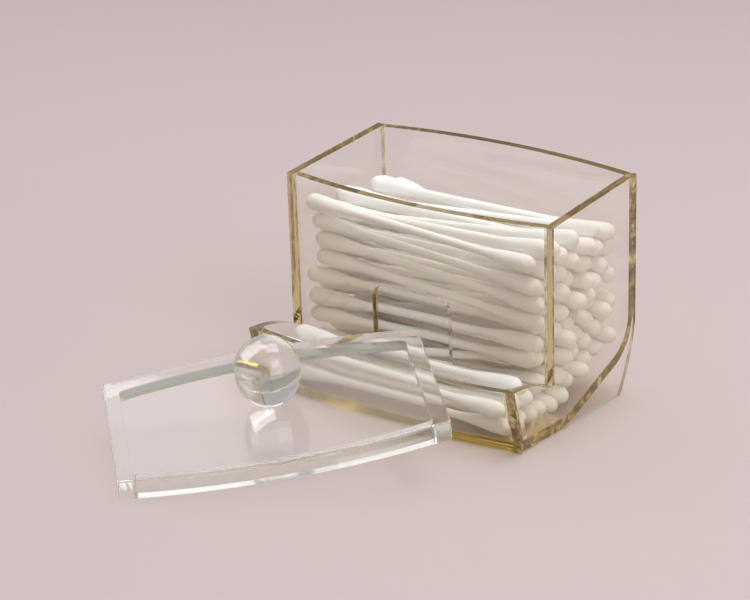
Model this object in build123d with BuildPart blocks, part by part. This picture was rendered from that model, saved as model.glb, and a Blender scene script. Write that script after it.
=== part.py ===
"""Clear acrylic cotton swab dispenser, filled with swabs, its lid taken off and leaning on the trough."""

import os
from math import atan2, cos, hypot, radians, sin, tan
from random import Random

from build123d import *

# Box, over its walls, measured square to the leaning walls
box_depth = 46.7
wall_height = 59.3
wall_lean = 5.8
wall_bow = 4.4
wall_thickness = 2.5
end_thickness = 2.5

# Floor, flat under the trough and sloping up to the back wall
base_length = 26.5
floor_slope = 20.5
floor_thickness = 3.0
slope_bend_radius = 22.0
back_bend_radius = 11.0

# Pick-up trough in front of the front wall
trough_reach = 16.7
lip_height = 19.2
lip_overhang = 6.6
lip_bow = 4.3
lip_thickness = 2.5
trough_side_height = 13.0
trough_side_crown = 1.2

# Front wall's lower edge and its finger notch
throat_height = 12.6
notch_width = 25.0
notch_top = 33.5
notch_radius = 4.0

# Back foot of the end panels
heel_height = 15.0
heel_crown = 1.4
foot_reach = 54.8

# Lid and its knob
lid_margin = 0.4
lid_height = 5.6
lid_plate = 2.4
lid_end_width = 4.2
lid_side_width = 3.4
lid_recess_radius = 1.6
lid_corner_radius = 1.0
lid_edge_radius = 0.5
knob_diameter = 17.4
knob_height = 19.4
knob_foot_diameter = 6.0
knob_waist_diameter = 14.6
knob_waist_height = 4.2

# Where the lid lies: its near corner on the table, its borders on the lip's front edge
lid_corner_x = -23.5
lid_corner_reach = 88.4
lid_heading = 43.7
lid_touch_left = -2.0
lid_touch_right = 12.0
rest_gap = 0.1

# Swabs
swab_count = 74
swab_length = 74.0
bud_length = 14.0
bud_diameter = 4.9
stick_diameter = 2.4
swab_sides = 6
swab_gap = 0.26
left_fluff = 0.22
swab_end_play = 2.2
swab_room = 7.0
swab_scatter = 3.2
swab_seed = 13
bud_profile = ((0.0, 0.34), (0.09, 0.78), (0.3, 1.0), (0.72, 0.92))

# Settling of the swabs
fall_step = 0.15
fall_rounds = 450
rest_rounds = 500

box_length = swab_length + swab_room + 2 * end_thickness
half_length = box_length / 2
inner_half = half_length - end_thickness
base_front = -base_length / 2
slope_start = base_length / 2
front_depth = trough_reach
back_depth = trough_reach + box_depth
lean_sin = sin(radians(wall_lean))
lean_cos = cos(radians(wall_lean))
slope_sin = sin(radians(floor_slope))
slope_cos = cos(radians(floor_slope))
slope_tan = tan(radians(floor_slope))


def leaned(depth, height):
    """Y and Z of a point given by its depth behind the base's front edge and its height along the walls."""
    return (
        base_front + depth * lean_cos - height * lean_sin,
        depth * lean_sin + height * lean_cos,
    )


def bowed_band(half, near, far, near_bow, far_bow):
    """Closed outline between two arcs, from near to far, that bulge by their bows at mid-length."""
    ThreePointArc((-half, near), (0, near + near_bow), (half, near))
    Line((half, near), (half, far))
    ThreePointArc((half, far), (0, far + far_bow), (-half, far))
    Line((-half, far), (-half, near))


# Planes of the leaning body: up the walls, and across the front wall
body = Plane(origin=(0, base_front, 0), x_dir=(1, 0, 0), z_dir=(0, -lean_sin, lean_cos))
front_view = Plane(origin=(0, base_front, 0), x_dir=(1, 0, 0), z_dir=(0, -lean_cos, -lean_sin))

# Side outline of an end panel, from the base's front corner round by the lip, rim and foot
floor_top_front = (base_front - floor_thickness * lean_sin / lean_cos, floor_thickness)
lip_top = (base_front - lip_overhang, lip_height)
trough_corner = leaned(front_depth, trough_side_height)
rim_front = leaned(front_depth, wall_height)
rim_back = leaned(back_depth, wall_height)
heel = leaned(back_depth, heel_height)
foot = (base_front + foot_reach, 0)

with BuildPart() as right_end_panel:
    with BuildSketch(Plane.YZ.offset(inner_half)):
        with BuildLine():
            Polyline((base_front, 0), floor_top_front, lip_top)
            SagittaArc(lip_top, trough_corner, trough_side_crown)
            Polyline(trough_corner, rim_front, rim_back, heel)
            SagittaArc(heel, foot, heel_crown)
            Line(foot, (base_front, 0))
        make_face()
    extrude(amount=end_thickness)

with BuildPart() as left_end_panel:
    mirror(right_end_panel.part, about=Plane.YZ)

# Bowed front wall, open below for the swabs, with a finger notch in the middle of its lower edge
with BuildPart() as front_wall:
    with BuildSketch(body.offset(throat_height)):
        with BuildLine():
            bowed_band(inner_half, front_depth, front_depth + wall_thickness, -wall_bow, -wall_bow)
        make_face()
    extrude(amount=wall_height - throat_height)
    with BuildSketch(front_view):
        with Locations((0, throat_height)):
            notch = Rectangle(notch_width, 2 * (notch_top - throat_height))
        fillet(notch.vertices(), notch_radius)
    extrude(amount=-back_depth / 2, mode=Mode.SUBTRACT)

# One formed sheet: bowed back wall, rounded bend, sloping floor and flat trough floor
slope_end = base_front + back_depth + wall_bow + floor_thickness
slope_rise = (slope_end - slope_start) * slope_tan
floor_front = base_front - lip_bow - floor_thickness
knee = tan(radians(floor_slope / 2))
under_knee = (slope_bend_radius + floor_thickness) * knee
upper_knee = slope_bend_radius * knee
upper_start = slope_start - floor_thickness * knee
under_bend = (slope_start - under_knee, 0)
under_slope = (slope_start + under_knee * slope_cos, under_knee * slope_sin)
upper_bend = (upper_start - upper_knee, floor_thickness)
upper_slope = (upper_start + upper_knee * slope_cos, floor_thickness + upper_knee * slope_sin)

with BuildPart() as back_and_floor:
    with BuildSketch(Plane.YZ.offset(-inner_half)):
        with BuildLine():
            Line((floor_front, 0), under_bend)
            TangentArc(under_bend, under_slope, tangent=(1, 0))
            Polyline(
                under_slope,
                (slope_end, slope_rise),
                (slope_end, slope_rise + floor_thickness / slope_cos),
                upper_slope,
            )
            TangentArc(upper_bend, upper_slope, tangent=(1, 0))
            Polyline(upper_bend, (floor_front, floor_thickness), (floor_front, 0))
        make_face()
    extrude(amount=2 * inner_half)
    with BuildSketch(body):
        with BuildLine():
            bowed_band(inner_half, back_depth - wall_thickness, back_depth, wall_bow, wall_bow)
        make_face()
    extrude(amount=wall_height)
    with BuildSketch(Plane.YZ.offset(-inner_half)):
        with BuildLine():
            Polyline((slope_start, 0), (slope_end, slope_rise), (slope_end, 0), close=True)
        make_face()
    extrude(amount=2 * inner_half, mode=Mode.SUBTRACT)
    with BuildSketch(body.offset(-wall_height)):
        with BuildLine():
            bowed_band(inner_half, 0, back_depth, -lip_bow, wall_bow)
        make_face()
    extrude(amount=2 * wall_height, mode=Mode.INTERSECT)
    bends = back_and_floor.edges().filter_by(GeomType.ELLIPSE).sort_by(Axis.Y)[-2:].sort_by(Axis.Z)
    fillet(bends[1], back_bend_radius)
    fillet(bends[0], back_bend_radius + wall_thickness)

# Bowed lip that stands on the floor's front edge and leans out
lip_run = lip_top[0] - floor_top_front[0]
lip_rise = lip_height - floor_thickness

with BuildPart() as trough_lip:
    with BuildSketch(Plane.XY.offset(floor_thickness)):
        with BuildLine():
            bowed_band(inner_half, floor_top_front[0], floor_top_front[0] + lip_thickness, -lip_bow, -lip_bow)
        make_face()
    extrude(amount=hypot(lip_run, lip_rise), dir=(0, lip_run, lip_rise))


def lip_edge(x):
    """Point on the front top edge of the lip."""
    return Vector(x, lip_top[0] - lip_bow * (1 - (x / inner_half) ** 2), lip_height)


# Plane of the lid's underside, through its near corner and two points of the lip's edge
lid_corner = Vector(lid_corner_x, base_front - lid_corner_reach, 0)
lid_up = (lip_edge(lid_touch_right) - lid_corner).cross(lip_edge(lid_touch_left) - lid_corner).normalized()
lid_run = Vector(cos(radians(lid_heading)), sin(radians(lid_heading)), 0)
lid_along = lid_run - lid_up * lid_run.dot(lid_up)
lid_base = Plane(origin=lid_corner + lid_up * rest_gap, x_dir=lid_along, z_dir=lid_up)
lid_half = half_length + lid_margin
lid_depth = box_depth + 2 * lid_margin
lid_under = Plane(origin=lid_base.from_local_coords((lid_half, 0, 0)), x_dir=lid_along, z_dir=lid_up)

with BuildPart() as lid:
    with BuildSketch(lid_under) as lid_outline:
        with BuildLine():
            bowed_band(lid_half, 0, lid_depth, -wall_bow, wall_bow)
        make_face()
        fillet(lid_outline.vertices(), lid_corner_radius)
    extrude(amount=lid_height)
    fillet(lid.faces().sort_by(Axis(lid_corner, lid_up))[-1].edges(), lid_edge_radius)
    with BuildSketch(lid_under) as recess:
        with BuildLine():
            bowed_band(
                lid_half - lid_end_width, lid_side_width, lid_depth - lid_side_width, -wall_bow, wall_bow
            )
        make_face()
        fillet(recess.vertices(), lid_recess_radius)
    extrude(amount=lid_height - lid_plate, mode=Mode.SUBTRACT)

# Ball knob with a narrowed foot, cemented to the middle of the lid
knob_radius = knob_diameter / 2
knob_foot = Vector(*lid_under.from_local_coords((0, lid_depth / 2, lid_height)))
knob_side = Plane(origin=knob_foot, x_dir=lid_under.x_dir, z_dir=lid_under.y_dir * -1)
knob_belly = knob_height - knob_radius

with BuildPart() as lid_knob:
    with BuildSketch(knob_side):
        with BuildLine():
            Line((0, knob_height), (0, 0))
            Line((0, 0), (knob_foot_diameter / 2, 0))
            ThreePointArc(
                (knob_foot_diameter / 2, 0), (knob_waist_diameter / 2, knob_waist_height), (knob_radius, knob_belly)
            )
            CenterArc((0, knob_belly), knob_radius, 0, 90)
        make_face()
    revolve(axis=Axis(knob_foot, lid_up))

# One swab along Z: a paper stick with a tapered cotton bud on each end
bud_radius = bud_diameter / 2
swab_half = swab_length / 2
bud_stations = [(swab_half - share * bud_length, bud_radius * width) for share, width in bud_profile]
bud_stations.append((swab_half - bud_length, stick_diameter / 2))
swab_stations = [(-place, radius) for place, radius in bud_stations]
swab_stations += [(place, radius) for place, radius in reversed(bud_stations)]

side_angles = [radians(360 * side / swab_sides) for side in range(swab_sides)]
rings = [[Vector(radius * cos(a), radius * sin(a), place) for a in side_angles] for place, radius in swab_stations]
swab_faces = [Face(Wire.make_polygon(rings[0])), Face(Wire.make_polygon(rings[-1]))]

for lower, upper in zip(rings, rings[1:]):
    for side in range(swab_sides):
        corners = [lower[side - 1], lower[side], upper[side], upper[side - 1]]
        swab_faces.append(Face(Wire.make_polygon(corners)))

swab = Solid(Shell(swab_faces))

# Swabs as they lie: each has a left and a right end, and every end falls until it meets its neighbours
bud_middle = swab_half - bud_length / 2
bud_pitch = bud_diameter + swab_gap
left_pitch = bud_pitch + left_fluff
stick_pitch = stick_diameter + swab_gap
neck_pitch = (bud_diameter + stick_diameter) / 2 + swab_gap
shoulder_share = bud_length / 4 / (2 * bud_middle)
neck_share = (bud_length / 2 + swab_end_play) / (2 * bud_middle)
bud_stops = (
    (0, left_pitch),
    (1, bud_pitch),
    (-shoulder_share, bud_pitch),
    (1 + shoulder_share, bud_pitch),
    (shoulder_share, bud_pitch),
    (1 - shoulder_share, bud_pitch),
    (neck_share, neck_pitch),
    (1 - neck_share, neck_pitch),
)
bud_reach = bud_radius + swab_gap
bud_bow = wall_bow * (1 - (swab_half / inner_half) ** 2)


def push_station(first, second, share, pitch):
    """Move two swabs apart at one place on their length, given as a share of the way from left to right bud."""
    rest = 1 - share
    across = rest * (second[0] - first[0]) + share * (second[2] - first[2])
    up = rest * (second[1] - first[1]) + share * (second[3] - first[3])
    distance = hypot(across, up)
    if distance < pitch:
        shift = (pitch - distance) / 2 / max(distance, swab_gap) / (rest**2 + share**2)
        for end, part in ((0, rest * shift), (2, share * shift)):
            first[end] -= across * part
            first[end + 1] -= up * part
            second[end] += across * part
            second[end + 1] += up * part


def push_apart(first, second):
    """Move two swabs off each other at their buds, at the buds' necks and where their sticks cross."""
    offsets = [second[value] - first[value] for value in range(4)]
    for left, right in (offsets[0::2], offsets[1::2]):
        if min(left, right) > left_pitch or max(left, right) < -left_pitch:
            return
    for share, pitch in bud_stops:
        push_station(first, second, share, pitch)
    if offsets[0] * offsets[2] + offsets[1] * offsets[3] < 0:
        turn = [offsets[2] - offsets[0], offsets[3] - offsets[1]]
        crossing = -(offsets[0] * turn[0] + offsets[1] * turn[1]) / (turn[0] ** 2 + turn[1] ** 2)
        push_station(first, second, crossing, stick_pitch)


# Centre of each bend's inner curve, with the angles from straight down between which the bend turns
slope_bend_centre = (upper_bend[0], floor_thickness + slope_bend_radius)
wall_inside = back_depth - wall_thickness + bud_bow
back_bend_depth = wall_inside - back_bend_radius
back_bend_rise = back_bend_radius + (floor_thickness - back_bend_depth * lean_sin) * slope_cos
back_bend_rise += (base_front + back_bend_depth * lean_cos - upper_start) * slope_sin
back_bend_height = back_bend_rise / cos(radians(floor_slope - wall_lean))
back_bend_centre = leaned(back_bend_depth, back_bend_height)
throat_y = leaned(front_depth, throat_height)[0]
slope_turn = radians(floor_slope)
wall_turn = radians(90 + wall_lean)


def keep_off_bend(y, z, centre, radius, start, end):
    """Move a swab's end inward where it is over a bend of the sheet and too near to it."""
    across = y - centre[0]
    up = z - centre[1]
    distance = hypot(across, up)
    if start < atan2(across, -up) < end and distance > radius - bud_reach:
        share = (radius - bud_reach) / distance
        y = centre[0] + across * share
        z = centre[1] + up * share
    return y, z


def keep_inside(y, z, in_trough):
    """Nearest place for a swab's end that is clear of the floor, the walls and the lip."""
    z = max(z, floor_thickness + bud_reach)
    above_slope = (z - floor_thickness) * slope_cos - (y - upper_start) * slope_sin - bud_reach
    if above_slope < 0:
        y += above_slope * slope_sin
        z -= above_slope * slope_cos
    y, z = keep_off_bend(y, z, slope_bend_centre, slope_bend_radius, 0, slope_turn)
    y, z = keep_off_bend(y, z, back_bend_centre, back_bend_radius, slope_turn, wall_turn)
    depth = (y - base_front) * lean_cos + z * lean_sin
    height = z * lean_cos - (y - base_front) * lean_sin
    depth = min(depth, wall_inside - bud_reach)
    under_wall = throat_height - bud_reach
    behind_wall = front_depth + wall_thickness - bud_bow + bud_reach
    before_wall = front_depth - wall_bow - stick_pitch / 2
    if height > under_wall and before_wall < depth < behind_wall:
        beside = before_wall if in_trough else behind_wall
        if abs(beside - depth) < height - under_wall:
            depth = beside
        else:
            height = under_wall
    y, z = leaned(depth, height)
    lip_inside = floor_top_front[0] + lip_thickness + lip_run * (z - floor_thickness) / lip_rise + bud_reach
    return max(y, lip_inside), z


def settled_swabs():
    """Left and right end and end shift of each swab after its fall from a loose stack above the floor."""
    chance = Random(swab_seed)
    first_depth = front_depth + wall_thickness + bud_pitch
    row_length = int((box_depth - 2 * wall_thickness - bud_pitch) / bud_pitch)
    swabs = []
    for index in range(swab_count):
        row, place = divmod(index, row_length)
        start = leaned(first_depth + place * bud_pitch, throat_height + bud_pitch + row * bud_pitch)
        swabs.append([value + chance.uniform(-swab_scatter, swab_scatter) for value in start + start])
    for turn in range(fall_rounds + rest_rounds):
        drop = fall_step if turn < fall_rounds else 0
        for lying in swabs:
            lying[1] -= drop
            lying[3] -= drop
        for index, lying in enumerate(swabs):
            for other in swabs[:index]:
                push_apart(lying, other)
        for lying in swabs:
            in_trough = lying[0] + lying[2] < 2 * throat_y
            lying[0:2] = keep_inside(lying[0], lying[1], in_trough)
            lying[2:4] = keep_inside(lying[2], lying[3], in_trough)
    return [lying + [chance.uniform(-swab_end_play, swab_end_play)] for lying in swabs]


def swab_place(lying):
    """Plane at the middle of a settled swab, its Z along the swab."""
    left = Vector(-bud_middle + lying[4], lying[0], lying[1])
    right = Vector(bud_middle + lying[4], lying[2], lying[3])
    return Plane(origin=(left + right) / 2, z_dir=right - left)


# The swabs in four layers, sorted by height
lying_swabs = sorted(settled_swabs(), key=lambda lying: lying[1] + lying[3])
swab_places = [swab_place(lying) for lying in lying_swabs]
layer_names = ("swabs_bottom", "swabs_lower", "swabs_upper", "swabs_top")
layer_size = -(-swab_count // len(layer_names))
layers = []

for layer in range(len(layer_names)):
    with BuildPart() as swab_layer:
        with Locations(*swab_places[layer * layer_size : (layer + 1) * layer_size]):
            add(swab)
    layers.append(swab_layer)

# Named pieces
pieces = {
    "left_end_panel": left_end_panel,
    "right_end_panel": right_end_panel,
    "front_wall": front_wall,
    "back_and_floor": back_and_floor,
    "trough_lip": trough_lip,
    "lid": lid,
    "lid_knob": lid_knob,
}
pieces.update(zip(layer_names, layers))

os.makedirs("parts", exist_ok=True)
for name, piece in pieces.items():
    piece.part.label = name
    export_step(piece.part, f"parts/{name}.step")
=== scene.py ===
"""Looks of the cotton swab box: aged clear acrylic, a moulded lid and cotton swabs, on the CAD frame."""

import math
import random

import bmesh
import bpy
from mathutils import Matrix, Vector, noise


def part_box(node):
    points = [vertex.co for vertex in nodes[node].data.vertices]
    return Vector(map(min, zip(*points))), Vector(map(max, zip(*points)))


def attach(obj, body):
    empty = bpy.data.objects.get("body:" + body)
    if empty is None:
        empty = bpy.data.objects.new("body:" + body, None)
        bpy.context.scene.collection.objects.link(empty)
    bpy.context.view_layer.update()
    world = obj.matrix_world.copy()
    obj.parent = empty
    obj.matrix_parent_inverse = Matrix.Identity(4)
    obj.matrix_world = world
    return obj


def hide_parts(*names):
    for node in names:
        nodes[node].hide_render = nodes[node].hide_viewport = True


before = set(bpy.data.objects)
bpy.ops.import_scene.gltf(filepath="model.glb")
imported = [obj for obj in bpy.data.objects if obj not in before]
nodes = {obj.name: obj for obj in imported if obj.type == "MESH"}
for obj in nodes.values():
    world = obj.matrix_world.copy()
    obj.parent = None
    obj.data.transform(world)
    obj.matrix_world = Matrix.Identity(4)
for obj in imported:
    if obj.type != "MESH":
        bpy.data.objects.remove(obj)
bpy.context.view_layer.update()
scene = bpy.context.scene
MM = 0.001

# Names of the CAD nodes that each visual piece stands for
SHEET_NODES = ("back_and_floor", "front_wall", "trough_lip")
PANEL_NODES = ("left_end_panel", "right_end_panel")
BOX_NODES = SHEET_NODES + PANEL_NODES
LID_NODES = ("lid", "lid_knob")
SWAB_NODES = ("swabs_bottom", "swabs_lower", "swabs_upper", "swabs_top")

# Camera of the photograph, fitted to the object's corners
CAMERA_PLACE = (0.3655, -0.58135, 0.26686)
CAMERA_AZIMUTH = 33.13
CAMERA_ELEVATION = 18.97
CAMERA_ROLL = -1.546
LENS_MM = 125.88
SENSOR_MM = 36.0

# Swab shape
SWAB_LENGTH = 74.0 * MM
BUD_LENGTH = 19.0 * MM
BUD_RADIUS = 2.45 * MM
STICK_RADIUS = 1.2 * MM
NOSE_SHARE = 0.15
TAPER_START = 0.2
SWAB_SEGMENTS = 28
BUD_RINGS = 34
STICK_RINGS = 10
RING_CROWDING = 1.35
TIP_JOIN = 0.0005 * MM
SWAB_SEED = 7

# Unevenness of a bud: its swelling, its waves (lobes, twist, height) and its fluff (grain, height)
BUD_SWELL = (0.94, 1.02)
BUD_WAVES = ((2, 300.0, 0.018), (3, -700.0, 0.014))
BUD_FLUFF = ((1.6 * MM, 0.03), (0.6 * MM, 0.022))

# Order of the materials on a swab and on the lid
COTTON_INDEX = 0
PAPER_INDEX = 1
FROSTED_INDEX = 1

# Clean-up and shading of the solids' meshes, with angles in degrees
WELD_REACH = 0.002 * MM
LOOSE_REACH = 0.004 * MM
BOX_FLAT_ANGLE = 0.4
LID_FLAT_ANGLE = 0.2
SPIKE_ANGLE = 1.0
MATCH_ANGLE = 4.0
SMOOTH_ANGLE = 14.0
FLAT_AREA = 12.0 * MM * MM

# Rounded edges
EDGE_ROUND = 0.22 * MM
EDGE_STEPS = 3
BOX_SHARP_ANGLE = 28.0
LID_SHARP_ANGLE = 40.0
NOTCH_HALF = 13.5 * MM
NOTCH_RISE = 14.0 * MM

# Acrylic, and how often light may turn on its way through
ACRYLIC_IOR = 1.49
LIGHT_BOUNCES = 96
DIFFUSE_BOUNCES = 12

# Largest share of the lid's upward direction in the normal of a recess wall
RECESS_TILT = 0.5

# Curved walls, as in the solids
WALL_LEAN = 5.8
WALL_BOW = 4.4 * MM
LIP_BOW = 4.3 * MM
LIP_LEAN = (0.0, -6.295, 16.2)

# Cemented seams, just inside the end panels, and how squarely a face has to face to bear one
SEAM_SINK = 0.1 * MM
SEAM_THICKNESS = 0.05 * MM
END_FACING = 0.99
FRONT_FACING = 0.8

# Beads of cement in the trough's inner corners, lumpy along their length
BEAD_STEPS = 26
BEAD_LEG = 2.1 * MM
BEAD_FOOT = 1.15
BEAD_THINNING = 0.5
BEAD_HOLLOW = 0.36
BEAD_SHARP_ANGLE = 30.0
BEAD_WAVE = 0.18
BEAD_LUMPS = 9.0
FLOOR_BEAD_LENGTH = 19.0 * MM
FLOOR_BEAD_HEIGHT = 4.6 * MM
FLOOR_BEAD_WIDTH = 1.0 * MM
FLOOR_BEAD_BLUNTNESS = 0.04
FLOOR_BEAD_WAVE = 0.36
FLOOR_BEAD_LUMPS = 7.0
FLOOR_BEAD_SHIFT = 5.0

# Air bubbles caught in the floor's seams, fewer and fewer with height
BUBBLE_COUNT = 90
BUBBLE_SIZES = (0.1 * MM, 0.34 * MM)
BUBBLE_BIAS = 3
BUBBLE_FADE = 9.0 * MM
BUBBLE_DETAIL = 2
BUBBLE_SEED = 11

# Floor, lamps and world, in metres
FLOOR_HALF = 4.0
LAMP_AIM = (0, -0.02, 0.03)
WINDOW_PLACE = (-0.48, 0.72, 1.0)
WINDOW_AIM = (0, -0.06, 0.02)
WINDOW_COLOUR = (1.0, 0.99, 0.98)
WORLD_COLOUR = (0.93, 0.92, 0.92, 1)
WORLD_STRENGTH = 0.43

# Sizes and the walls' inward direction, which follow from the solids
inner_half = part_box("front_wall")[1][0]
wall_radius = (inner_half**2 + WALL_BOW**2) / (2 * WALL_BOW)
lip_radius = (inner_half**2 + LIP_BOW**2) / (2 * LIP_BOW)
inward = Vector((0, math.cos(math.radians(WALL_LEAN)), math.sin(math.radians(WALL_LEAN))))


# Meshes


def new_piece(name, mesh, materials):
    """Link a mesh as a piece that rides on the part's one body."""
    piece = bpy.data.objects.new(name, mesh)
    scene.collection.objects.link(piece)
    for material in materials:
        mesh.materials.append(material)
    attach(piece, "root")
    return piece


def finished_mesh(work, name):
    """Mesh of a finished work, which is then freed."""
    mesh = bpy.data.meshes.new(name)
    work.to_mesh(mesh)
    work.free()
    return mesh


def welded_copy(node):
    """Object with a CAD node's mesh, its doubled corner points joined again."""
    mesh = nodes[node].data.copy()
    work = bmesh.new()
    work.from_mesh(mesh)
    bmesh.ops.remove_doubles(work, verts=work.verts, dist=WELD_REACH)
    bmesh.ops.recalc_face_normals(work, faces=work.faces)
    work.to_mesh(mesh)
    work.free()
    mesh.materials.clear()
    copy = bpy.data.objects.new("work_" + node, mesh)
    scene.collection.objects.link(copy)
    return copy


def fused_mesh(name, members):
    """One closed mesh from CAD nodes that are cemented together."""
    copies = [welded_copy(node) for node in members]
    base = copies[0]
    for other in copies[1:]:
        union = base.modifiers.new("union", "BOOLEAN")
        union.operation = "UNION"
        union.solver = "EXACT"
        union.object = other
    depsgraph = bpy.context.evaluated_depsgraph_get()
    mesh = bpy.data.meshes.new_from_object(base.evaluated_get(depsgraph))
    mesh.name = name
    for copy in copies:
        bpy.data.objects.remove(copy)
    return mesh


def first_spike(work):
    """Face, neighbour, tip, near point and far point of the first outline that folds back, if any."""
    for face in work.faces:
        ring = list(face.verts)
        if len(ring) < 4:
            continue
        for index, tip in enumerate(ring):
            before = ring[index - 1]
            after = ring[(index + 1) % len(ring)]
            back = before.co - tip.co
            ahead = after.co - tip.co
            if back.angle(ahead) > math.radians(SPIKE_ANGLE):
                continue
            near, far = (before, after) if back.length < ahead.length else (after, before)
            edge = work.edges.get((tip, far))
            others = [other for other in edge.link_faces if other is not face and near not in other.verts]
            if others:
                return face, others[0], tip, near, far
    return None


def mend_spikes(work):
    """Hand each folded-back stretch of an outline to the face on its other side."""
    spike = first_spike(work)
    while spike:
        face, other, tip, near, far = spike
        ring = [vert for vert in face.verts if vert is not tip]
        wider = list(other.verts)
        place = wider.index(tip)
        if wider[(place + 1) % len(wider)] is far:
            place += 1
        wider.insert(place, near)
        edge = work.edges.get((tip, far))
        work.faces.remove(face)
        work.faces.remove(other)
        work.faces.new(ring)
        work.faces.new(wider)
        if not edge.link_faces:
            work.edges.remove(edge)
        spike = first_spike(work)


def clean_mesh(mesh, flat_angle):
    """Join loose points and melt away the lines that cross flat faces."""
    work = bmesh.new()
    work.from_mesh(mesh)
    bmesh.ops.remove_doubles(work, verts=work.verts, dist=LOOSE_REACH)
    bmesh.ops.dissolve_limit(work, angle_limit=math.radians(flat_angle), verts=work.verts, edges=work.edges)
    mend_spikes(work)
    bmesh.ops.recalc_face_normals(work, faces=work.faces)
    work.to_mesh(mesh)
    work.free()


def in_notch(point):
    """True for a point at the finger notch's height and width, where edges stay crisp."""
    front_low, front_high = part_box("front_wall")
    is_low = front_low[2] + EDGE_ROUND < point.z < front_low[2] + NOTCH_RISE
    return is_low and abs(point.x) < NOTCH_HALF and point.y < front_high[1]


def mark_edges(mesh, sharp_angle):
    """Give the sharp edges, apart from those at the notch, the bevel weight that rounds them."""
    work = bmesh.new()
    work.from_mesh(mesh)
    weights = work.edges.layers.float.new("bevel_weight_edge")
    for edge in work.edges:
        middle = (edge.verts[0].co + edge.verts[1].co) / 2
        is_sharp = edge.is_manifold and edge.calc_face_angle() > math.radians(sharp_angle)
        edge[weights] = 1.0 if is_sharp and not in_notch(middle) else 0.0
    work.to_mesh(mesh)
    work.free()


def soften(piece, sharp_angle):
    """Round the sharp edges a little and shade the curved faces smooth."""
    mark_edges(piece.data, sharp_angle)
    bevel = piece.modifiers.new("edge", "BEVEL")
    bevel.width = EDGE_ROUND
    bevel.segments = EDGE_STEPS
    bevel.limit_method = "WEIGHT"
    depsgraph = bpy.context.evaluated_depsgraph_get()
    mesh = bpy.data.meshes.new_from_object(piece.evaluated_get(depsgraph))
    piece.modifiers.clear()
    piece.data = mesh
    mesh.shade_smooth()
    mesh.set_sharp_from_angle(angle=math.radians(SMOOTH_ANGLE))


def true_normals(mesh, surfaces):
    """Give the flat faces and the known curved surfaces their exact normals."""
    normals = [corner.vector.copy() for corner in mesh.corner_normals]
    close = math.cos(math.radians(MATCH_ANGLE))
    for face in mesh.polygons:
        for index in face.loop_indices:
            point = mesh.vertices[mesh.loops[index].vertex_index].co
            choices = [surface(point) for surface in surfaces]
            choices += [-choice for choice in choices]
            matches = [choice for choice in choices if choice.dot(face.normal) > close]
            if matches:
                normals[index] = max(matches, key=face.normal.dot)
            elif face.area > FLAT_AREA:
                normals[index] = face.normal.copy()
    mesh.normals_split_custom_set(normals)


# Materials


def node_material(name):
    """New node material, with its tree and its Principled shader."""
    material = bpy.data.materials.new(name)
    material.use_nodes = True
    tree = material.node_tree
    return material, tree, tree.nodes["Principled BSDF"]


def set_inputs(node, **values):
    """Set a node's sockets by name, with underscores for spaces."""
    for key, value in values.items():
        node.inputs[key.replace("_", " ")].default_value = value


def add_node(tree, kind, **values):
    """New node with its sockets set by name."""
    node = tree.nodes.new(kind)
    set_inputs(node, **values)
    return node


def math_node(tree, operation, *sources):
    """Output of a calculation on one or two other outputs."""
    node = tree.nodes.new("ShaderNodeMath")
    node.operation = operation
    for source, socket in zip(sources, node.inputs):
        tree.links.new(source, socket)
    return node.outputs["Value"]


def noise_value(tree, place, **values):
    """Output of a noise texture at a place."""
    texture = add_node(tree, "ShaderNodeTexNoise", **values)
    tree.links.new(place, texture.inputs["Vector"])
    return texture.outputs["Fac"]


def ranged_value(tree, value, **values):
    """Output that takes a value from one range to another."""
    node = add_node(tree, "ShaderNodeMapRange", **values)
    tree.links.new(value, node.inputs["Value"])
    return node.outputs["Result"]


def ramp_colour(tree, value, *stops):
    """Colour that follows a value through its stops."""
    node = tree.nodes.new("ShaderNodeValToRGB")
    elements = node.color_ramp.elements
    while len(elements) < len(stops):
        elements.new(stops[-1][0])
    for element, (position, colour) in zip(elements, stops):
        element.position = position
        element.color = colour
    tree.links.new(value, node.inputs["Fac"])
    return node.outputs["Color"]


def wrap_place(tree, stretch):
    """Place along and round a swab, stretched."""
    wrap = tree.nodes.new("ShaderNodeUVMap")
    wrap.uv_map = "wrap"
    mapping = add_node(tree, "ShaderNodeMapping", Scale=stretch)
    tree.links.new(wrap.outputs["UV"], mapping.inputs["Vector"])
    return mapping.outputs["Vector"]


def object_place(tree):
    """Place on the object."""
    return tree.nodes.new("ShaderNodeTexCoord").outputs["Object"]


def add_bump(tree, shader, height, strength, distance):
    """Relief on a shader from a height."""
    bump = add_node(tree, "ShaderNodeBump", Strength=strength, Distance=distance)
    tree.links.new(height, bump.inputs["Height"])
    tree.links.new(bump.outputs["Normal"], shader.inputs["Normal"])


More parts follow.
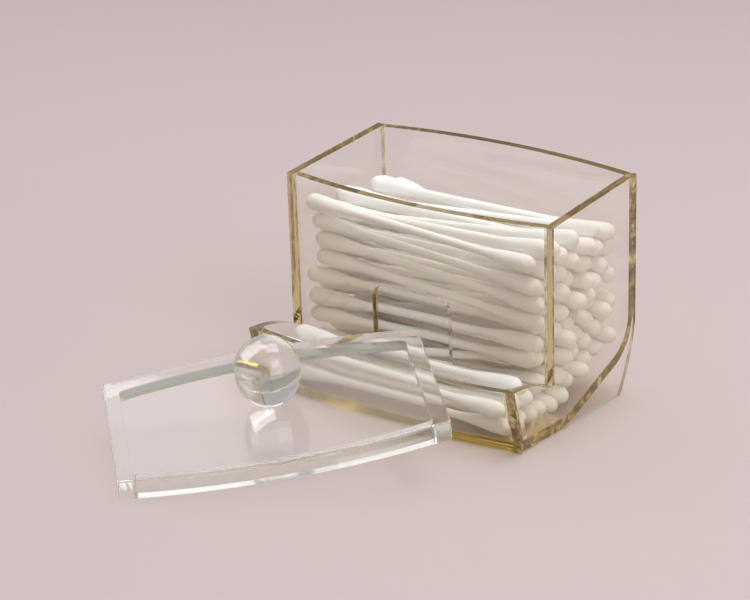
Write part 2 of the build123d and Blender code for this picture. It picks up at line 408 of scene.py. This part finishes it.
def acrylic(name, absorb_colour, absorb_density, shadow_colour, clarity, polish, haze):
    """Clear acrylic: smooth refraction, colour that deepens with thickness, and faint wipe marks."""
    material, tree, shader = node_material(name)
    output = tree.nodes["Material Output"]
    set_inputs(shader, Base_Color=(1, 1, 1, 1), Transmission_Weight=clarity, IOR=ACRYLIC_IOR)
    marks = noise_value(tree, object_place(tree), Scale=70.0, Detail=6.0, Roughness=0.65)
    gloss = ranged_value(tree, marks, From_Min=0.45, From_Max=0.8, To_Min=polish, To_Max=haze)
    tree.links.new(gloss, shader.inputs["Roughness"])
    through = add_node(tree, "ShaderNodeBsdfTransparent", Color=shadow_colour)
    path = tree.nodes.new("ShaderNodeLightPath")
    soft_rays = math_node(tree, "MAXIMUM", path.outputs["Is Shadow Ray"], path.outputs["Is Diffuse Ray"])
    mix = tree.nodes.new("ShaderNodeMixShader")
    tree.links.new(soft_rays, mix.inputs["Fac"])
    tree.links.new(shader.outputs["BSDF"], mix.inputs[1])
    tree.links.new(through.outputs["BSDF"], mix.inputs[2])
    tree.links.new(mix.outputs["Shader"], output.inputs["Surface"])
    absorb = add_node(tree, "ShaderNodeVolumeAbsorption", Color=absorb_colour, Density=absorb_density)
    tree.links.new(absorb.outputs["Volume"], output.inputs["Volume"])
    return material


def cotton_material():
    """Soft matte cotton: fine fibres wound round the bud, slightly uneven white."""
    material, tree, shader = node_material("cotton_bud")
    place = wrap_place(tree, stretch=(14.0, 60.0, 1.0))
    fibres = noise_value(tree, place, Scale=3.0, Detail=8.0, Roughness=0.7, Distortion=0.8)
    tint = ramp_colour(tree, fibres, (0.25, (0.9, 0.885, 0.86, 1)), (0.75, (0.97, 0.965, 0.955, 1)))
    tree.links.new(tint, shader.inputs["Base Color"])
    add_bump(tree, shader, fibres, strength=0.5, distance=0.15 * MM)
    set_inputs(shader, Roughness=0.95, Specular_IOR_Level=0.15)
    set_inputs(shader, Subsurface_Weight=0.5, Subsurface_Radius=(1, 1, 1), Subsurface_Scale=2.2 * MM)
    set_inputs(shader, Sheen_Weight=0.25, Sheen_Roughness=0.6)
    return material


def paper_material():
    """Rolled paper stick: smooth white with a faint winding seam."""
    material, tree, shader = node_material("paper_stick")
    place = wrap_place(tree, stretch=(1.0, 9.0, 1.0))
    split = tree.nodes.new("ShaderNodeSeparateXYZ")
    tree.links.new(place, split.inputs["Vector"])
    wind = math_node(tree, "ADD", split.outputs["X"], split.outputs["Y"])
    turn = math_node(tree, "FRACT", wind)
    tint = ramp_colour(tree, turn, (0.0, (0.89, 0.875, 0.845, 1)), (0.07, (0.95, 0.94, 0.915, 1)))
    tree.links.new(tint, shader.inputs["Base Color"])
    grain = noise_value(tree, place, Scale=40.0, Detail=4.0)
    add_bump(tree, shader, grain, strength=0.15, distance=0.05 * MM)
    set_inputs(shader, Roughness=0.55, Specular_IOR_Level=0.35)
    return material


def cement_and_glint_material():
    """Aged cement, streaked olive and brown, clear in places, with bright gold streaks that are partly its
    own colour and partly painted glow and glints of light inside the seam.
    """
    material, tree, shader = node_material("seam_cement_and_glints")
    place = object_place(tree)
    streaks = noise_value(tree, place, Scale=330.0, Detail=4.0, Roughness=0.6, Distortion=0.6)
    # Brown and olive are the aged cement's own colour; the bright gold stop is partly its colour and partly
    # a painted glow and glints of light inside the seam.
    brown = (0.4, (0.16, 0.1, 0.03, 1))
    olive = (0.52, (0.5, 0.39, 0.14, 1))
    golden_and_glint = (0.64, (0.96, 0.85, 0.5, 1))
    tree.links.new(ramp_colour(tree, streaks, brown, olive, golden_and_glint), shader.inputs["Base Color"])
    patches = noise_value(tree, place, Scale=160.0, Detail=3.0)
    cover = ranged_value(tree, patches, From_Min=0.35, From_Max=0.65, To_Min=0.12, To_Max=0.62)
    tree.links.new(cover, shader.inputs["Alpha"])
    set_inputs(shader, Roughness=0.3)
    return material


def bubble_material():
    """Air caught in the acrylic."""
    material, _, shader = node_material("air_bubble")
    set_inputs(shader, Base_Color=(1, 1, 1, 1), Transmission_Weight=1.0, Roughness=0.02, IOR=1 / ACRYLIC_IOR)
    return material


def floor_material():
    """Plain pale floor with a very soft unevenness."""
    material, tree, shader = node_material("pale_floor")
    cloud = noise_value(tree, object_place(tree), Scale=3.0, Detail=3.0)
    tint = ramp_colour(tree, cloud, (0.0, (0.56, 0.475, 0.475, 1)), (1.0, (0.6, 0.515, 0.515, 1)))
    tree.links.new(tint, shader.inputs["Base Color"])
    set_inputs(shader, Roughness=0.8, Specular_IOR_Level=0.2)
    return material


amber = acrylic(
    "amber_acrylic",
    absorb_colour=(0.8, 0.69, 0.3, 1),
    absorb_density=28.0,
    shadow_colour=(0.95, 0.93, 0.88, 1),
    clarity=1.0,
    polish=0.0,
    haze=0.05,
)
clear = acrylic(
    "clear_acrylic",
    absorb_colour=(0.78, 0.8, 0.62, 1),
    absorb_density=7.0,
    shadow_colour=(0.96, 0.965, 0.955, 1),
    clarity=1.0,
    polish=0.06,
    haze=0.1,
)
frosted = acrylic(
    "frosted_acrylic",
    absorb_colour=(0.78, 0.8, 0.62, 1),
    absorb_density=7.0,
    shadow_colour=(0.95, 0.955, 0.945, 1),
    clarity=0.78,
    polish=0.08,
    haze=0.2,
)
amber_bead = acrylic(
    "amber_bead",
    absorb_colour=(0.97, 0.9, 0.4, 1),
    absorb_density=1000.0,
    shadow_colour=(0.94, 0.88, 0.66, 1),
    clarity=0.9,
    polish=0.02,
    haze=0.1,
)
cotton = cotton_material()
paper = paper_material()


# Acrylic box


def front_normal(point):
    """Outward normal of the front wall's bow, at a point's place along the box."""
    across = max(-1.0, min(1.0, point.x / wall_radius))
    return Vector((across, 0, 0)) - inward * math.sqrt(1 - across**2)


def back_normal(point):
    """Outward normal of the back wall's bow."""
    across = max(-1.0, min(1.0, point.x / wall_radius))
    return Vector((across, 0, 0)) + inward * math.sqrt(1 - across**2)


def lip_normal(point):
    """Outward normal of the lip's bow."""
    along = Vector((math.sqrt(lip_radius**2 - point.x**2), point.x, 0))
    return along.cross(Vector(LIP_LEAN)).normalized()


box_mesh = fused_mesh("acrylic_box", BOX_NODES)
clean_mesh(box_mesh, BOX_FLAT_ANGLE)
acrylic_box = new_piece("acrylic_box", box_mesh, [amber])
soften(acrylic_box, BOX_SHARP_ANGLE)
true_normals(acrylic_box.data, (front_normal, back_normal, lip_normal))
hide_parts(*BOX_NODES)

# Lid, with the walls of the recess under it less polished
lid_mesh = fused_mesh("acrylic_lid", LID_NODES)
clean_mesh(lid_mesh, LID_FLAT_ANGLE)
acrylic_lid = new_piece("acrylic_lid", lid_mesh, [clear, frosted])
soften(acrylic_lid, LID_SHARP_ANGLE)
true_normals(acrylic_lid.data, ())
lid_up = max(nodes["lid"].data.polygons, key=lambda face: face.area).normal
lid_middle = (Vector(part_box("lid")[0]) + Vector(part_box("lid")[1])) / 2
for face in acrylic_lid.data.polygons:
    is_wall = abs(face.normal.dot(lid_up)) < RECESS_TILT
    if is_wall and face.normal.dot(face.center - lid_middle) < 0:
        face.material_index = FROSTED_INDEX
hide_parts(*LID_NODES)


# Cement in the seams between the sheets and the end panels


def face_corners(mesh, face):
    """Corner points of a face."""
    return [mesh.vertices[index].co.copy() for index in face.vertices]


def end_faces(node):
    """Corner points of the faces with which a sheet meets the end panels."""
    mesh = nodes[node].data
    found = []
    for face in mesh.polygons:
        if abs(face.normal.x) > END_FACING and abs(face.center.x) > inner_half - SEAM_SINK:
            found.append(face_corners(mesh, face))
    return found


def front_edge_faces(node):
    """Corner points of an end panel's front edge, below the lip's top."""
    mesh = nodes[node].data
    found = []
    for face in mesh.polygons:
        if face.normal.y < -FRONT_FACING and face.center.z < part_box("trough_lip")[1][2]:
            found.append(face_corners(mesh, face))
    return found


def seam_mesh():
    """Thin skins of cement on the sheets' ends and behind the panels' front edges."""
    work = bmesh.new()
    for node in SHEET_NODES:
        for corners in end_faces(node):
            sunk = [corner + Vector((math.copysign(SEAM_SINK, corner.x), 0, 0)) for corner in corners]
            work.faces.new([work.verts.new(corner) for corner in sunk])
    for node in PANEL_NODES:
        for corners in front_edge_faces(node):
            sunk = [corner + Vector((0, SEAM_SINK, 0)) for corner in corners]
            work.faces.new([work.verts.new(corner) for corner in sunk])
    bmesh.ops.remove_doubles(work, verts=work.verts, dist=WELD_REACH)
    bmesh.ops.recalc_face_normals(work, faces=work.faces)
    bmesh.ops.solidify(work, geom=work.faces, thickness=SEAM_THICKNESS)
    return finished_mesh(work, "cement_seams")


def bead_section(root, out, rise):
    """Corner, foot, hollow and top of a bead that fills a corner."""
    return root, root + out, root + (out + rise) * BEAD_HOLLOW, root + rise


def add_bead(work, sections):
    """Closed bar of cement through its sections."""
    rings = [[work.verts.new(point) for point in section] for section in sections]
    work.faces.new(rings[0])
    work.faces.new(rings[-1])
    for lower, upper in zip(rings, rings[1:]):
        for index in range(len(lower)):
            work.faces.new((lower[index - 1], lower[index], upper[index], upper[index - 1]))


def lip_inner_edge():
    """Foot and top of the lip's inner face, where it meets an end panel."""
    corners = [corner for face in end_faces("trough_lip") for corner in face]
    heights = [corner.z for corner in corners]
    halfway = (min(heights) + max(heights)) / 2
    foot = max((corner for corner in corners if corner.z < halfway), key=lambda corner: corner.y)
    top = max((corner for corner in corners if corner.z > halfway), key=lambda corner: corner.y)
    return foot, top


def lip_bead_sections(side, foot, top):
    """Sections of the bead behind the lip, from the floor up, at one end of the trough."""
    sections = []
    for step in range(BEAD_STEPS + 1):
        share = step / BEAD_STEPS
        spot = foot.lerp(top, share)
        lump = 1 + BEAD_WAVE * noise.noise(Vector((side, 0, BEAD_LUMPS * share)))
        leg = BEAD_LEG * (BEAD_FOOT - BEAD_THINNING * share) * lump
        root = Vector((side * (inner_half - SEAM_SINK), spot.y + SEAM_SINK, spot.z))
        sections.append(bead_section(root, Vector((-side * leg, 0, 0)), Vector((0, leg, 0))))
    return sections


def floor_top(faces, place):
    """Height of the floor's upper side at a place from front to back."""
    heights = []
    for corners in faces:
        for index, corner in enumerate(corners):
            before = corners[index - 1]
            if before.y != corner.y and (before.y - place) * (corner.y - place) <= 0:
                share = (place - before.y) / (corner.y - before.y)
                heights.append(before.z + share * (corner.z - before.z))
    return max(heights)


def floor_bead_sections(side, front):
    """Sections of the bead along the floor, from the lip backwards, at one end of the trough."""
    floor_ends = end_faces("back_and_floor")
    sections = []
    for step in range(BEAD_STEPS + 1):
        share = step / BEAD_STEPS
        place = front + FLOOR_BEAD_LENGTH * share
        lump = 1 + FLOOR_BEAD_WAVE * noise.noise(Vector((side, FLOOR_BEAD_SHIFT, FLOOR_BEAD_LUMPS * share)))
        blunt_share = FLOOR_BEAD_BLUNTNESS + (1 - 2 * FLOOR_BEAD_BLUNTNESS) * share
        swell = math.sin(math.pi * blunt_share) * lump
        height = floor_top(floor_ends, place) + SEAM_SINK
        root = Vector((side * (inner_half - SEAM_SINK), place, height))
        out = Vector((-side * FLOOR_BEAD_WIDTH * swell, 0, 0))
        sections.append(bead_section(root, out, Vector((0, 0, FLOOR_BEAD_HEIGHT * swell))))
    return sections


def bead_mesh():
    """Beads of cement squeezed out behind the lip and along the floor, at both ends of the trough."""
    foot, top = lip_inner_edge()
    work = bmesh.new()
    for side in (-1, 1):
        add_bead(work, lip_bead_sections(side, foot, top))
        add_bead(work, floor_bead_sections(side, foot.y))
    bmesh.ops.recalc_face_normals(work, faces=work.faces)
    mesh = finished_mesh(work, "cement_beads")
    mesh.shade_smooth()
    mesh.set_sharp_from_angle(angle=math.radians(BEAD_SHARP_ANGLE))
    return mesh


def bubble_mesh():
    """Small round bubbles in the end panels, along the floor's seams."""
    chance = random.Random(BUBBLE_SEED)
    faces = end_faces("back_and_floor")
    areas = [(b - a).cross(c - a).length for a, b, c in faces]
    smallest, largest = BUBBLE_SIZES
    work = bmesh.new()
    made = 0
    while made < BUBBLE_COUNT:
        corners = chance.choices(faces, areas)[0]
        first, second = sorted((chance.random(), chance.random()))
        spot = corners[0] * first + corners[1] * (second - first) + corners[2] * (1 - second)
        size = smallest + (largest - smallest) * chance.random() ** BUBBLE_BIAS
        if spot.z > size and chance.random() < math.exp(-spot.z / BUBBLE_FADE):
            spot.x += math.copysign(size + SEAM_SINK + 2 * SEAM_THICKNESS, spot.x)
            shift = Matrix.Translation(spot)
            bmesh.ops.create_icosphere(work, subdivisions=BUBBLE_DETAIL, radius=size, matrix=shift)
            made += 1
    mesh = finished_mesh(work, "seam_bubbles")
    mesh.shade_smooth()
    return mesh


cement_seams = new_piece("cement_seams", seam_mesh(), [cement_and_glint_material()])
cement_beads = new_piece("cement_beads", bead_mesh(), [amber_bead])
seam_bubbles = new_piece("seam_bubbles", bubble_mesh(), [bubble_material()])


# Swabs


def islands(work):
    """Points of each separate solid in a mesh."""
    seen = set()
    found = []
    for start in work.verts:
        if start.index in seen:
            continue
        stack = [start]
        seen.add(start.index)
        points = []
        while stack:
            vert = stack.pop()
            points.append(vert.co.copy())
            for edge in vert.link_edges:
                other = edge.other_vert(vert)
                if other.index not in seen:
                    seen.add(other.index)
                    stack.append(other)
        found.append(points)
    return found


def swab_axes(node):
    """Middle and direction of each swab of a CAD node."""
    copy = welded_copy(node)
    work = bmesh.new()
    work.from_mesh(copy.data)
    bpy.data.objects.remove(copy)
    found = []
    for points in islands(work):
        left = min(points, key=lambda point: point.x).x
        right = max(points, key=lambda point: point.x).x
        third = (right - left) / 3
        left_end = [point for point in points if point.x < left + third]
        right_end = [point for point in points if point.x > right - third]
        left_middle = sum(left_end, Vector()) / len(left_end)
        right_middle = sum(right_end, Vector()) / len(right_end)
        found.append(((left_middle + right_middle) / 2, (right_middle - left_middle).normalized()))
    work.free()
    return sorted(found, key=lambda axis: tuple(axis[0]))


def bud_radius(depth):
    """Radius of a bud at a depth from its tip: round nose, full body, long taper on to the stick."""
    share = depth / BUD_LENGTH
    nose = math.sqrt(max(0.0, 1 - (1 - min(1.0, share / NOSE_SHARE)) ** 2))
    tail = max(0.0, (share - TAPER_START) / (1 - TAPER_START))
    taper = 1 - tail * tail * (3 - 2 * tail)
    body = STICK_RADIUS + (BUD_RADIUS - STICK_RADIUS) * taper
    return nose * body


def swab_rings():
    """Distance from the left tip, radius and cotton share of each ring along a swab."""
    bud = []
    for index in range(BUD_RINGS + 1):
        depth = BUD_LENGTH * (index / BUD_RINGS) ** RING_CROWDING
        bud.append((depth, bud_radius(depth), 1.0))
    stick = []
    stick_length = SWAB_LENGTH - 2 * BUD_LENGTH
    for index in range(1, STICK_RINGS):
        stick.append((BUD_LENGTH + stick_length * index / STICK_RINGS, STICK_RADIUS, 0.0))
    far_bud = [(SWAB_LENGTH - depth, radius, share) for depth, radius, share in reversed(bud)]
    return bud + stick + far_bud


def close_tips(mesh):
    """Join the points of each ring that has shrunk to a swab's tip."""
    work = bmesh.new()
    work.from_mesh(mesh)
    bmesh.ops.remove_doubles(work, verts=work.verts, dist=TIP_JOIN)
    work.to_mesh(mesh)
    work.free()


def swab_points(rings, middle, along, phases, swells):
    """Points of one swab, ring by ring."""
    side = along.orthogonal().normalized()
    up = along.cross(side)
    points = []
    for distance, radius, share in rings:
        end = 0 if distance < SWAB_LENGTH / 2 else 1
        centre = middle + along * (distance - SWAB_LENGTH / 2)
        depth = min(distance, SWAB_LENGTH - distance)
        for segment in range(SWAB_SEGMENTS):
            angle = math.tau * segment / SWAB_SEGMENTS
            outward = side * math.cos(angle) + up * math.sin(angle)
            bulge = 0.0
            for phase, (lobes, twist, height) in zip(phases, BUD_WAVES):
                bulge += height * math.sin(lobes * angle + phase + twist * depth)
            for grain, height in BUD_FLUFF:
                bulge += height * noise.noise((centre + outward * radius) / grain)
            size = radius * (1 + share * bulge) * (swells[end] if share else 1.0)
            points.append(centre + outward * size)
    return points


def swab_group(name, node, chance):
    """One mesh with all swabs of a CAD node, each a little uneven in its own way."""
    rings = swab_rings()
    points = []
    faces = []
    wraps = []
    kinds = []
    for middle, along in swab_axes(node):
        start = len(points)
        phases = [chance.uniform(0, math.tau) for wave in BUD_WAVES]
        swells = [chance.uniform(*BUD_SWELL) for end in range(2)]
        shift = chance.random()
        points += swab_points(rings, middle, along, phases, swells)
        for ring in range(len(rings) - 1):
            is_cotton = rings[ring][2] * rings[ring + 1][2] > 0
            near = rings[ring][0] / SWAB_LENGTH + shift
            far = rings[ring + 1][0] / SWAB_LENGTH + shift
            low = start + ring * SWAB_SEGMENTS
            high = low + SWAB_SEGMENTS
            for segment in range(SWAB_SEGMENTS):
                beside = (segment + 1) % SWAB_SEGMENTS
                faces.append((low + segment, low + beside, high + beside, high + segment))
                kinds.append(COTTON_INDEX if is_cotton else PAPER_INDEX)
                around = (segment / SWAB_SEGMENTS + shift, (segment + 1) / SWAB_SEGMENTS + shift)
                wraps += [around[0], near, around[1], near, around[1], far, around[0], far]
    mesh = bpy.data.meshes.new(name)
    mesh.from_pydata(points, [], faces)
    layer = mesh.uv_layers.new(name="wrap")
    layer.data.foreach_set("uv", wraps)
    mesh.polygons.foreach_set("use_smooth", [True] * len(faces))
    piece = new_piece(name, mesh, [cotton, paper])
    mesh.polygons.foreach_set("material_index", kinds)
    close_tips(mesh)
    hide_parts(node)


swab_chance = random.Random(SWAB_SEED)
for node in SWAB_NODES:
    swab_group("cotton_" + node, node, swab_chance)


# Floor, light and camera


def floor_mesh():
    """Square floor on which the object stands."""
    corners = [
        (-FLOOR_HALF, -FLOOR_HALF, 0),
        (FLOOR_HALF, -FLOOR_HALF, 0),
        (FLOOR_HALF, FLOOR_HALF, 0),
        (-FLOOR_HALF, FLOOR_HALF, 0),
    ]
    mesh = bpy.data.meshes.new("floor")
    mesh.from_pydata(corners, [], [(0, 1, 2, 3)])
    mesh.materials.append(floor_material())
    return mesh


def soft_light(name, place, aim, size, power, colour):
    """Large lamp that faces the object, with its width and height."""
    lamp = bpy.data.lights.new(name, "AREA")
    lamp.shape = "RECTANGLE"
    lamp.size, lamp.size_y = size
    lamp.energy = power
    lamp.color = colour
    light = bpy.data.objects.new(name, lamp)
    light.location = place
    light.rotation_euler = (Vector(aim) - Vector(place)).to_track_quat("-Z", "Y").to_euler()
    scene.collection.objects.link(light)


def photo_camera():
    """Camera at the photograph's place, turned by its azimuth, elevation and roll."""
    azimuth = math.radians(CAMERA_AZIMUTH)
    elevation = math.radians(CAMERA_ELEVATION)
    roll = math.radians(CAMERA_ROLL)
    ahead = math.cos(elevation)
    look = Vector((-math.sin(azimuth) * ahead, math.cos(azimuth) * ahead, -math.sin(elevation)))
    level_right = look.cross(Vector((0, 0, 1))).normalized()
    level_down = look.cross(level_right)
    right = level_right * math.cos(roll) + level_down * math.sin(roll)
    down = level_down * math.cos(roll) - level_right * math.sin(roll)
    data = bpy.data.cameras.new("camera")
    data.sensor_fit = "HORIZONTAL"
    data.sensor_width = SENSOR_MM
    data.lens = LENS_MM
    camera = bpy.data.objects.new("camera", data)
    turn = Matrix((right, -down, -look)).transposed().to_4x4()
    camera.matrix_world = Matrix.Translation(CAMERA_PLACE) @ turn
    scene.collection.objects.link(camera)
    return camera


floor = bpy.data.objects.new("floor", floor_mesh())
scene.collection.objects.link(floor)

soft_light(
    "key_light",
    place=(0.1, 0.15, 1.1),
    aim=LAMP_AIM,
    size=(0.7, 0.7),
    power=7.8,
    colour=(1.0, 0.98, 0.95),
)
soft_light(
    "fill_light",
    place=(1.0, -0.5, 0.7),
    aim=LAMP_AIM,
    size=(0.6, 0.6),
    power=4.0,
    colour=(1.0, 0.99, 0.97),
)
soft_light(
    "window_light",
    place=WINDOW_PLACE,
    aim=WINDOW_AIM,
    size=(0.6, 0.6),
    power=0.6,
    colour=WINDOW_COLOUR,
)
soft_light(
    "wide_light",
    place=WINDOW_PLACE,
    aim=WINDOW_AIM,
    size=(1.5, 0.6),
    power=2.4,
    colour=WINDOW_COLOUR,
)

world = bpy.data.worlds.new("studio")
world.use_nodes = True
set_inputs(world.node_tree.nodes["Background"], Color=WORLD_COLOUR, Strength=WORLD_STRENGTH)
scene.world = world
scene.view_settings.view_transform = "Standard"
scene.cycles.caustics_reflective = False
scene.cycles.caustics_refractive = False
scene.cycles.max_bounces = LIGHT_BOUNCES
scene.cycles.glossy_bounces = LIGHT_BOUNCES
scene.cycles.diffuse_bounces = DIFFUSE_BOUNCES
scene.cycles.transmission_bounces = LIGHT_BOUNCES
scene.cycles.transparent_max_bounces = LIGHT_BOUNCES
scene.camera = photo_camera()
